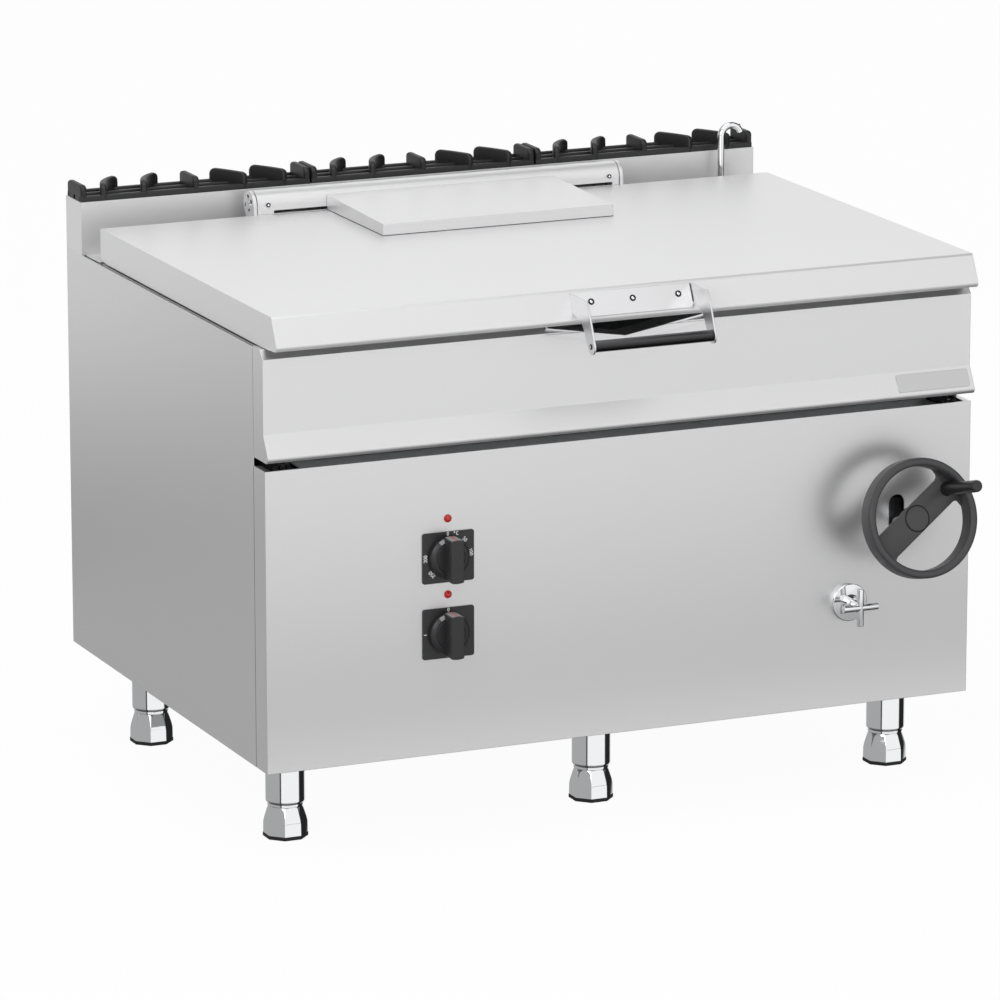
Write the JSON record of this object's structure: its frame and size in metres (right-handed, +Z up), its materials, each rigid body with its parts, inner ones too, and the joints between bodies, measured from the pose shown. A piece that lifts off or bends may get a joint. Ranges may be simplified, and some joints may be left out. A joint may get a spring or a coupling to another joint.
{
  "type": "tilting bratt pan",
  "caption": "Stainless steel tilting bratt pan: electric braising pan with hinged lid, handwheel screw tilting, water tap, rear flue grates and levelling feet.",
  "frame": {"origin": "centre of the plan outline at floor level, under the feet", "axes": "+X to the right seen from the front, +Y to the back, +Z up"},
  "size_m": [1.2, 1.028, 0.937],
  "materials": {
    "stainless": "brushed",
    "frame_steel": "satin",
    "galvanised": "satin",
    "black_iron": "matt",
    "chrome": "polished",
    "black_plastic": "satin",
    "knob_plastic": "gloss",
    "lamp_plastic": "gloss",
    "bright_steel": "satin",
    "brass": "satin",
    "rubber": "matt"
  },
  "bodies": {
    "cabinet": {"front_panel": "stainless", "left_side_panel": "stainless", "right_side_panel": "stainless", "back_panel": "stainless", "base_tray": "galvanised", "rear_ledge": "stainless", "upstand": "stainless", "grate_left": "black_iron", "grate_middle": "black_iron", "grate_right": "black_iron", "side_beams": "frame_steel", "cross_beams": "frame_steel", "frame_posts": "frame_steel", "upper_rails": "frame_steel", "hinge_brackets": "frame_steel", "hinge_pins": "bright_steel", "rest_buffers": "rubber", "leg_tubes": "chrome", "jack_stand": "frame_steel", "jack_housing": "bright_steel", "jack_cover_tube": "galvanised", "control_plates": "knob_plastic", "control_switches": "black_plastic", "indicator_lamps": "lamp_plastic", "tap_rosette": "chrome", "tap_valve": "brass", "water_pipe": "brass", "terminal_box": "galvanised", "cable_gland": "black_plastic"},
    "pan": {"pan_vessel": "stainless", "pan_floor": "bright_steel", "fascia": "stainless", "pouring_lip": "stainless", "pan_underframe": "frame_steel", "hinge_arms": "bright_steel", "heating_elements": "bright_steel", "heat_shield": "galvanised", "tilt_lever": "bright_steel", "hinge_housing": "stainless"},
    "lid": {"lid_shell": "stainless", "lid_cover_plate": "stainless", "lid_arms": "stainless", "lid_shaft": "bright_steel", "lid_handle_bracket": "stainless", "lid_handle_bar": "black_plastic"},
    "handwheel": {"handwheel": "black_plastic", "wheel_shaft": "bright_steel"},
    "crank_grip": {"crank_grip": "black_plastic"},
    "jack_screw": {"jack_screw": "bright_steel"},
    "jack_roller": {"jack_roller": "bright_steel"},
    "thermostat_knob": {"thermostat_knob": "knob_plastic"},
    "switch_knob": {"switch_knob": "knob_plastic"},
    "tap_handle": {"tap_handle": "chrome"},
    "water_spout": {"water_spout": "chrome"},
    "foot_front_left": {"foot_front_left": "chrome"},
    "foot_front_middle": {"foot_front_middle": "chrome"},
    "foot_front_right": {"foot_front_right": "chrome"},
    "foot_back_left": {"foot_back_left": "chrome"},
    "foot_back_middle": {"foot_back_middle": "chrome"},
    "foot_back_right": {"foot_back_right": "chrome"}
  },
  "joints": [
    {"name": "pan_tilt", "type": "hinge", "parent": "cabinet", "child": "pan", "pos_m": [0, -0.33197, 0.6055], "axis": [1, 0, 0], "range_deg": [0, 70]},
    {"name": "lid_open", "type": "hinge", "parent": "pan", "child": "lid", "pos_m": [0, 0.39903, 0.87], "axis": [-1, 0, 0], "range_deg": [0, 86]},
    {"name": "jack_lift", "type": "slide", "parent": "cabinet", "child": "jack_screw", "axis": [0, 0.2588, 0.9659], "range_m": [0, 0.15551]},
    {"name": "roller_spin", "type": "hinge", "parent": "jack_screw", "child": "jack_roller", "pos_m": [0.436, -0.24483, 0.50165], "axis": [1, 0, 0], "continuous": true},
    {"name": "handwheel_turn", "type": "hinge", "parent": "cabinet", "child": "handwheel", "pos_m": [0.471, -0.26897, 0.41156], "axis": [0, -0.9659, 0.2588], "continuous": true},
    {"name": "crank_grip_spin", "type": "hinge", "parent": "handwheel", "child": "crank_grip", "pos_m": [0.52787, -0.40975, 0.49207], "axis": [0, -0.9659, 0.2588], "continuous": true},
    {"name": "thermostat_turn", "type": "hinge", "parent": "cabinet", "child": "thermostat_knob", "pos_m": [-0.3, -0.34897, 0.453], "axis": [0, 1, 0], "range_deg": [0, 270]},
    {"name": "switch_turn", "type": "hinge", "parent": "cabinet", "child": "switch_knob", "pos_m": [-0.3, -0.34897, 0.333], "axis": [0, 1, 0], "range_deg": [-90, 0]},
    {"name": "tap_turn", "type": "hinge", "parent": "cabinet", "child": "tap_handle", "pos_m": [0.3875, -0.34897, 0.3095], "axis": [0, -1, 0], "range_deg": [0, 180]},
    {"name": "spout_swivel", "type": "hinge", "parent": "cabinet", "child": "water_spout", "pos_m": [0.529, 0.42203, 0.802], "axis": [0, 0, -1], "range_deg": [0, 40]},
    {"name": "level_front_left", "type": "slide", "parent": "cabinet", "child": "foot_front_left", "axis": [0, 0, -1], "range_m": [0, 0.03]},
    {"name": "level_front_middle", "type": "slide", "parent": "cabinet", "child": "foot_front_middle", "axis": [0, 0, -1], "range_m": [0, 0.03]},
    {"name": "level_front_right", "type": "slide", "parent": "cabinet", "child": "foot_front_right", "axis": [0, 0, -1], "range_m": [0, 0.03]},
    {"name": "level_back_left", "type": "slide", "parent": "cabinet", "child": "foot_back_left", "axis": [0, 0, -1], "range_m": [0, 0.03]},
    {"name": "level_back_middle", "type": "slide", "parent": "cabinet", "child": "foot_back_middle", "axis": [0, 0, -1], "range_m": [0, 0.03]},
    {"name": "level_back_right", "type": "slide", "parent": "cabinet", "child": "foot_back_right", "axis": [0, 0, -1], "range_m": [0, 0.03]}
  ],
  "couplings": [
    {"joint": "jack_lift", "follows": "pan_tilt", "m_per_rad": 0.12729},
    {"joint": "handwheel_turn", "follows": "pan_tilt", "ratio": 100}
  ]
}
